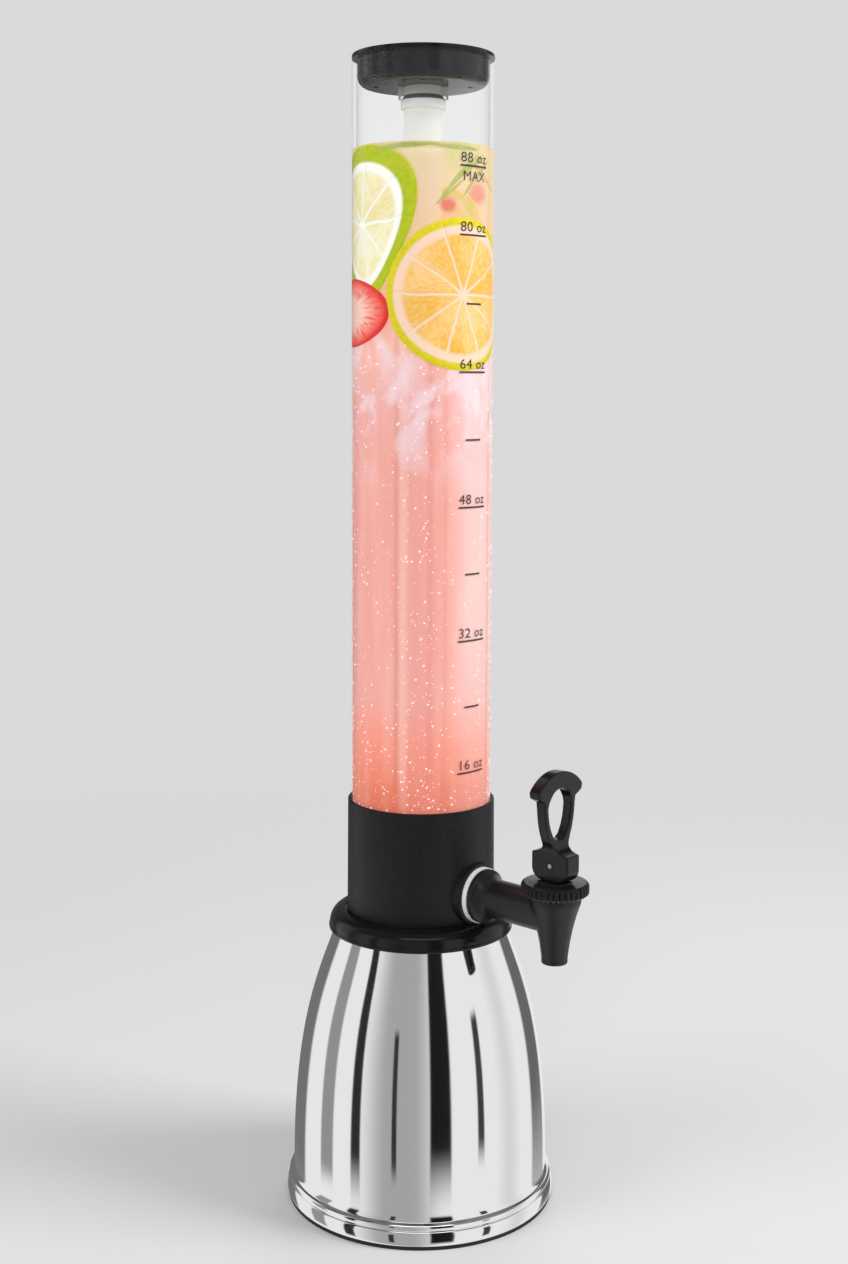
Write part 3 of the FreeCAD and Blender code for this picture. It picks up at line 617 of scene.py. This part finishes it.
plug_sole = sweep_line((36.5, 739.0), (40.4, 739.0), (42.8, 741.4), (42.8, 745.6), 8)
lid = lathe([(8.95, 739.0)] + plug_sole + [(42.8, 756.6), (46.5, 756.6, 0.3), (46.5, 759.1, 0.7),
            (41.1, 759.1, 0.5), (40.3, 757.4), (40.3, 745.2, 3.2), (36.6, 741.5),
            (17.0, 741.5, 0.4), (17.0, 751.5, 0.5), (15.0, 751.5, 0.5), (15.0, 741.5),
            (8.95, 741.5), (8.95, 739.0)], 160)
vent_reach = 30.5 * mm
vent_hole = 2.0 * mm
vent_pins = bmesh.new()
for k in range(4):
    way = math.radians(42 + 90 * k - 90)
    pin = bmesh.ops.create_cone(vent_pins, cap_ends=True, segments=32, radius1=vent_hole,
                                radius2=vent_hole, depth=8 * mm)["verts"]
    bmesh.ops.translate(vent_pins, verts=pin, vec=(vent_reach * math.cos(way),
                                                   vent_reach * math.sin(way), 740.0 * mm))
blank = bpy.data.objects.new("lid_blank", mesh_of("lid_blank", lid))
pins = bpy.data.objects.new("vent_pins", mesh_of("vent_pins", vent_pins))
bpy.context.collection.objects.link(blank)
bpy.context.collection.objects.link(pins)
drill = blank.modifiers.new("vents", "BOOLEAN")
drill.object = pins
drill.solver = "EXACT"
bpy.context.view_layer.update()
lid = bmesh.new()
lid.from_mesh(bpy.data.meshes.new_from_object(
    blank.evaluated_get(bpy.context.evaluated_depsgraph_get())))
bpy.data.objects.remove(blank)
bpy.data.objects.remove(pins)
grip_long, grip_wide, grip_tall = 25.4 * mm, 5.0 * mm, 13.0 * mm
grip_out = 28.2 * mm
grip_high = 748.0 * mm
for side in (-1, 1):
    bar = bmesh.ops.create_cube(lid, size=1.0)["verts"]
    bmesh.ops.scale(lid, verts=bar, vec=(grip_long, grip_wide, grip_tall))
    bmesh.ops.translate(lid, verts=bar, vec=(side * grip_out, 0, grip_high))
    top = {v for v in bar if v.co.z > grip_high}
    edges = [e for e in lid.edges if e.verts[0] in top or e.verts[1] in top]
    bmesh.ops.bevel(lid, geom=edges, offset=0.9 * mm, segments=3, affect="EDGES", profile=0.5,
                    material=-1)
piece("lid_cup", lid, gloss_black, "lid", ["lid"])


# Ice tube. A frosted clear moulding with a round end, which is filled with ice and
# screwed up through a grey gasket into the white socket under the lid.

dress("core_socket", nylon)
dress("socket_nut", nylon)
grey_rubber = Finish("grey_rubber", srgb(112, 112, 110), 0.6)
grey_rubber.set(Roughness=0.5 + 0.2 * grey_rubber.noise(grey_rubber.place(), 300.0))
dress("core_gasket", grey_rubber)

# Painted glow: the ice tube gives off a weak light of its own, standing in for light that passes
# through it.
frosted = Finish("frosted_core", srgb(246, 248, 248), 0.30, Alpha=0.42, Emission_Strength=0.17,
                 Emission_Color=(0.9, 0.9, 0.9))
frosted_place = frosted.place()
frost = frosted.noise(frosted.stretch(frosted_place, 1.0, 1.0, 0.2), 70.0, 4.0)
frosted_high = frosted.parts(frosted_place)[2]
neck = frosted.rise(frosted_high, 0.722, 0.7245)
frosted.set(Roughness=0.24 + 0.24 * frost, Alpha=0.34 + 0.10 * frost + 0.42 * neck)
frosted.bump(frost, 0.0003, 0.25)
core_end = sweep_line((0, 224.0), (7.2, 224.0), (12.65, 229.5), (12.65, 236.6), 12)
bore_end = sweep_line((11.05, 236.6), (11.05, 230.6), (6.4, 225.6), (0, 225.6), 10)
core = lathe(core_end + [(12.65, 724.5), (14.6, 724.5, 0.7), (14.6, 730.5, 0.5), (9.2, 730.5),
                         (9.2, 737.4), (7.7, 737.4), (7.7, 728.9), (11.05, 724.5)] + bore_end, 96)
piece("ice_tube", core, frosted, "lid", ["ice_core"])


# Drink. A pink sparkling drink fills the tube to its last mark. Its face is drawn out in
# the wall, because the thick wall magnifies it to nearly the tube's own width.

drink_foot = 240.0
drink_top = 699.0
drink_reach = 45.9
tone_span = 460
drink = Finish("drink", srgb(247, 184, 172), 0.35, Specular_IOR_Level=0.2)
drink_place = drink.place()
drink_high = drink.parts(drink_place)[2] * 1000
drink_turn = drink.around(drink_place)
cloud = drink.noise(drink.stretch(drink_place, 1.0, 1.0, 0.35), 26.0, 4.0)
wisp = drink.noise(drink.stretch(drink_place, 1.6, 1.6, 0.16), 60.0, 3.0)
body_tone = drink.ramp((drink_high + 26 * (cloud - 0.5) - drink_foot) / tone_span,
                       (0.00, srgb(216, 104, 80)), (0.10, srgb(238, 130, 102)),
                       (0.16, srgb(248, 150, 128)), (0.225, srgb(243, 169, 157)),
                       (0.30, srgb(242, 166, 154)),
                       (0.56, srgb(240, 163, 150)), (0.64, srgb(238, 171, 164)),
                       (0.72, srgb(246, 182, 166)), (0.84, srgb(246, 196, 158)),
                       (1.00, srgb(244, 214, 150)))
# Painted light: the drink is paler over its middle heights on the side towards the key lamp, about
# 16 degrees round the tower.
painted_light_side = (drink.band(drink_turn, 16.0, 34.0, 14.0) * (1 - drink.rise(drink_high, 560, 640))
             * (0.45 + 0.55 * drink.rise(drink_high, 300, 420)))
painted_light_tone = drink.mix(painted_light_side * (0.55 + 0.5 * (cloud - 0.4)), body_tone, srgb(233, 215, 212))
wisp_tone = drink.mix(drink.rise(wisp, 0.42, 0.78) * 0.15, painted_light_tone, srgb(250, 232, 228))

# Painted shade and painted highlight: faint dark, red and pale upright lines stand in for the ice
# tube seen through the drink, the same from each quarter.
quarter = drink_turn.math("WRAP", drink_turn + 48.0, 45.0, -45.0)
painted_core_zone = drink.rise(drink_high, 250, 300) * (1 - drink.rise(drink_high, 600, 650))
shade_tone = wisp_tone
for middle, half, soft, colour, strength in ((3.0, 12.0, 6.0, srgb(228, 138, 130), 0.42),
                                             (6.5, 2.4, 2.2, srgb(222, 96, 90), 0.30),
                                             (-15.5, 3.4, 2.6, srgb(253, 222, 212), 0.40),
                                             (-20.6, 2.0, 1.7, srgb(196, 120, 100), 0.42),
                                             (19.2, 1.8, 1.6, srgb(206, 136, 124), 0.34)):
    line = 1 - drink.rise((quarter - middle).size(), half - soft, half + soft)
    painted_core_share = line * painted_core_zone * (0.65 + 0.7 * (cloud - 0.5)) * strength
    shade_tone = drink.mix(painted_core_share, shade_tone, colour)
ice_zone = drink.rise(drink_high, 470, 530) * (1 - drink.rise(drink_high, 572, 584))
facets = drink.noise(drink.stretch(drink_place, 1.0, 1.0, 0.7), 46.0, 3.0, 0, Distortion=0.6)
iced_tone = drink.mix(ice_zone * drink.rise(facets, 0.42, 0.62) * 0.62, shade_tone,
                      srgb(243, 226, 236))
zest = drink.noise(drink.stretch(drink_place, 1.0, 1.0, 0.6), 38.0, 3.0, 0, Distortion=0.8)
zest_zone = drink.rise(drink_high, 636, 668)
zested_tone = drink.mix(zest_zone * drink.rise(zest, 0.46, 0.60) * 0.75, iced_tone,
                        srgb(216, 212, 116))


def glow(tone, colour, middle, high, wide, tall, strength):
    """Add the soft blur of a berry that floats behind the wall's face."""
    off = drink_turn.math("WRAP", drink_turn - middle, 180.0, -180.0) / wide
    lift = (drink_high - high) / tall
    near = 1 - drink.rise((off * off + lift * lift) ** 0.5 + 0.5 * (zest - 0.5), 0.35, 1.05)
    return drink.mix(near * strength, tone, colour)


red_tone = glow(zested_tone, srgb(226, 62, 96), -28.0, 660, 9.5, 6.0, 0.85)
red_tone = glow(red_tone, srgb(240, 84, 84), 1.0, 668, 14.0, 9.0, 0.80)
red_tone = glow(red_tone, srgb(236, 80, 84), 150.0, 664, 16.0, 9.0, 0.75)
drink_tone = glow(red_tone, srgb(250, 206, 176), -45.0, 672, 13.0, 24.0, 0.55)
# Painted glow: the drink's face gives off a weak light in its own colour, standing in for light
# that passes through a real drink.
drink.set(Base_Color=drink_tone, Emission_Color=drink_tone, Emission_Strength=0.28,
          Alpha=0.84 - 0.30 * drink.rise(drink_high, 560, 690))
drink_wall = lathe([(drink_reach, drink_foot), (drink_reach, 420.0), (drink_reach, 560.0),
                    (drink_reach, drink_top)], 128)
piece("drink_face", drink_wall, drink)

surface = Finish("drink_surface", srgb(240, 214, 120), 0.12, Alpha=0.62)
surface.set(Base_Color=surface.mix(surface.noise(surface.place(), 40.0), srgb(226, 200, 92),
                                   srgb(248, 232, 176)))
skim = lathe([(13.4, drink_top - 0.6), (42.0, drink_top - 0.6), (45.6, drink_top)], 96)
piece("drink_top", skim, surface)


# Fruit. Slices of lemon and lime and a cut strawberry are pressed against the wall near
# the top of the drink. Each is cut flat, with its own flat map, and lies along the wall.

def fruit_slice(name, across, tall, thick, middle, high, finish, taper=0.0, lean=0.0,
                reach=46.2):
    """A round slice, stretched to across by tall, tapered downwards, and laid on the wall."""
    bm = bmesh.new()
    half = thick / 2
    line = [bm.verts.new((x, 0, z)) for x, z in
            [(0, half)] + [(k / 16 * 0.97, half) for k in range(1, 17)]
            + [(1.0, half * 0.55), (1.0, -half * 0.55), (0.97, -half), (0.5, -half), (0, -half)]]
    for start, end in zip(line, line[1:]):
        bm.edges.new((start, end))
    bmesh.ops.spin(bm, geom=bm.verts[:] + bm.edges[:], cent=(0, 0, 0), axis=(0, 0, 1),
                   angle=math.tau, steps=72, use_merge=True)
    bmesh.ops.remove_doubles(bm, verts=bm.verts[:], dist=1e-5)
    bmesh.ops.recalc_face_normals(bm, faces=bm.faces[:])
    flat = bm.loops.layers.uv.new("flat")
    for face in bm.faces:
        for corner in face.loops:
            corner[flat].uv = corner.vert.co.xy
    for v in bm.verts:
        x, y, z = v.co
        x *= across / 2 * (1 + taper * y)
        y *= tall / 2
        x, y = (x * math.cos(lean) - y * math.sin(lean), x * math.sin(lean) + y * math.cos(lean))
        v.co = (x * mm, (z - half) * mm, y * mm)
    wrap(bm, reach * mm, middle, high)
    return piece(name, bm, finish, sharp=60.0)


def citrus(name, rind, rind_deep, pith, flesh, flesh_deep, wedges, rind_share):
    """The finish of a citrus slice: rind, pith, and wedges of flesh between thin skins."""
    cut_face = Finish(name, flesh, 0.28, Specular_IOR_Level=0.4)
    spot = cut_face.node("UVMap", 0, {}, uv_map="flat")
    x, y, _ = cut_face.parts(spot)
    reach = (x * x + y * y) ** 0.5
    turn = x.math("ARCTAN2", y, x) / math.tau
    jog = cut_face.noise(spot, 3.0, 2.0) - 0.5
    wedge = x.math("PINGPONG", turn * wedges + 0.25 * jog, 0.5)
    skin = cut_face.rise(wedge * reach + 0.02 * jog, 0.006, 0.042)
    fine = cut_face.noise(cut_face.node("CombineXYZ", 0, {0: turn * 46, 1: reach * 5, 2: 0.0}),
                          2.4, 4.0)
    bloom = cut_face.noise(spot, 1.6, 2.0)
    pulp = cut_face.mix(cut_face.rise(0.55 * fine + 0.75 * bloom, 0.46, 0.84), flesh_deep, flesh)
    heart = cut_face.rise(reach, 0.03, 0.12)
    ring = 1 - cut_face.rise(reach + 0.03 * jog, rind_share - 0.14, rind_share - 0.07)
    inner = cut_face.mix(skin * heart * ring, pith, pulp)
    peel = cut_face.mix(cut_face.noise(spot, 14.0), rind_deep, rind)
    edge = cut_face.rise(reach, rind_share - 0.015, rind_share + 0.03)
    tone = cut_face.mix(edge, inner, peel)
    # Painted glow: the slice gives off a weak light in its own colour, standing in for light that
    # shines through it.
    cut_face.set(Base_Color=tone, Emission_Color=tone, Emission_Strength=0.20)
    cut_face.bump(fine * skin + skin, 0.0004, 0.5)
    return cut_face


lemon = citrus("lemon", srgb(238, 216, 10), srgb(196, 190, 4), srgb(250, 214, 188),
               srgb(251, 208, 140), srgb(241, 176, 40), 10, 0.875)
fruit_slice("lemon_slice", 106, 98, 5.0, -14.0, 604, lemon, reach=46.35)
lime = citrus("lime", srgb(204, 208, 12), srgb(148, 178, 8), srgb(252, 252, 244),
              srgb(250, 246, 218), srgb(238, 222, 150), 9, 0.77)
fruit_slice("lime_slice", 82, 102, 5.0, -104.5, 648, lime, taper=0.52, lean=0.12)

berry = Finish("strawberry", srgb(232, 52, 44), 0.3)
berry_spot = berry.node("UVMap", 0, {}, uv_map="flat")
berry_x, berry_y, _ = berry.parts(berry_spot)
berry_reach = (berry_x * berry_x + berry_y * berry_y) ** 0.5
berry_turn = berry_x.math("ARCTAN2", berry_y, berry_x)
streak = berry.rise(berry.node("TexNoise", 0, {"Vector": berry.node(
    "CombineXYZ", 0, {0: berry_turn * 3, 1: berry_reach, 2: 0.0}), "Scale": 3.0}), 0.5, 0.62)
berry_in = berry.mix(berry.rise(berry_reach + 0.2 * streak, 0.38, 0.92), srgb(252, 206, 190),
                     srgb(240, 84, 66))
berry_tone = berry.mix(berry.rise(berry_reach, 0.82, 0.95), berry_in, srgb(222, 34, 34))
# Painted glow: the strawberry gives off a weak light in its own colour, standing in for light that
# shines through it.
berry.set(Base_Color=berry_tone, Emission_Color=berry_tone, Emission_Strength=0.2)
berry.bump(streak, 0.0004, 0.4)
fruit_slice("strawberry_slice", 80, 45, 5.0, -124.0, 593, berry, reach=46.4)


def leaf(name, long, wide, middle, high, lean, finish):
    """A narrow blade that tapers to both ends, arched a little and laid on the wall."""
    bm = bmesh.new()
    bmesh.ops.create_grid(bm, x_segments=14, y_segments=4, size=0.5)
    for v in bm.verts:
        x, y, _ = v.co
        y *= wide * math.cos(math.pi * x) ** 0.7
        x *= long
        x, y = (x * math.cos(lean) - y * math.sin(lean), x * math.sin(lean) + y * math.cos(lean))
        v.co = (x * mm, 0.0, y * mm)
    wrap(bm, 46.1 * mm, middle, high)
    bmesh.ops.recalc_face_normals(bm, faces=bm.faces[:])
    bmesh.ops.solidify(bm, geom=bm.faces[:], thickness=0.3 * mm)
    return piece(name, bm, finish)


herb = Finish("herb_leaf", srgb(150, 176, 60), 0.4)
vein = herb.noise(herb.place(), 160.0, 4.0)
herb_tone = herb.mix(vein, srgb(126, 156, 56), srgb(222, 218, 140))
# Painted glow: the leaves give off a weak light in their own colour, standing in for light that
# shines through them.
herb.set(Base_Color=herb_tone, Emission_Color=herb_tone, Emission_Strength=0.2, Alpha=0.7)
herb.bump(vein, 0.0003, 0.4)
for k, (long, wide, middle, high, lean) in enumerate((
        (34, 2.6, -21.0, 676, 0.86), (30, 2.2, -12.0, 682, 0.80), (26, 2.4, -3.0, 686, 0.66),
        (26, 2.2, -26.0, 668, 0.70), (44, 3.0, -62.0, 696.5, 0.05), (36, 3.6, -92.0, 695, 0.03),
        (34, 2.8, -20.0, 696, -0.04), (22, 1.8, -6.0, 674, 0.9), (36, 3.6, 70.0, 684, 0.7),
        (38, 4.0, 130.0, 676, 0.8), (34, 3.4, 165.0, 690, 0.2), (20, 2.0, 8.0, 684, 0.7))):
    leaf("leaf_%02d" % k, long, wide, middle, high, lean, herb)

fruit_slice("lemon_slice_back", 78, 80, 5.0, 118.0, 640, lemon)
fruit_slice("lime_slice_back", 62, 66, 5.0, -172.0, 606, lime)
fruit_slice("strawberry_back", 44, 36, 5.0, 82.0, 590, berry)


# Bubbles. The drink sparkles: fine bubbles cling to the wall and to the ice tube, more
# of them towards the bottom, and a few larger ones stand between.

# Painted glow: the bubbles give off a weak near-white light, standing in for the light that they
# catch in the drink.
fizz = Finish("bubbles", srgb(255, 246, 244), 0.10, Alpha=0.6, Emission_Strength=0.4,
              Emission_Color=(1.0, 0.93, 0.91))
fizz.set(Alpha=0.55 + 0.3 * fizz.noise(fizz.place(), 300.0))
scatter = random.Random(7)
bubbles = bmesh.new()
bunches = 44
bunch_count = 50
lowest = 262
highest = 575
for _ in range(bunches):
    bunch = bmesh.new()
    for k in range(bunch_count):
        way = math.radians(scatter.uniform(-180, 180) if k % 5 < 3
                           else scatter.gauss(90 * (k % 4) - 48, 13))
        high = lowest + (highest - lowest) * scatter.random() ** 1.35
        size = scatter.choice((0.28, 0.34, 0.40, 0.46, 0.58, 0.80)) * mm
        reach = (drink_reach + 0.05) * mm - size * 0.2
        ball = bmesh.ops.create_icosphere(bunch, subdivisions=1, radius=size)["verts"]
        bmesh.ops.translate(bunch, verts=ball, vec=(reach * math.sin(way), -reach * math.cos(way),
                                                    high * mm))
    bubbles.from_mesh(mesh_of("bunch", bunch))
piece("bubbles", bubbles, fizz, sharp=180.0)
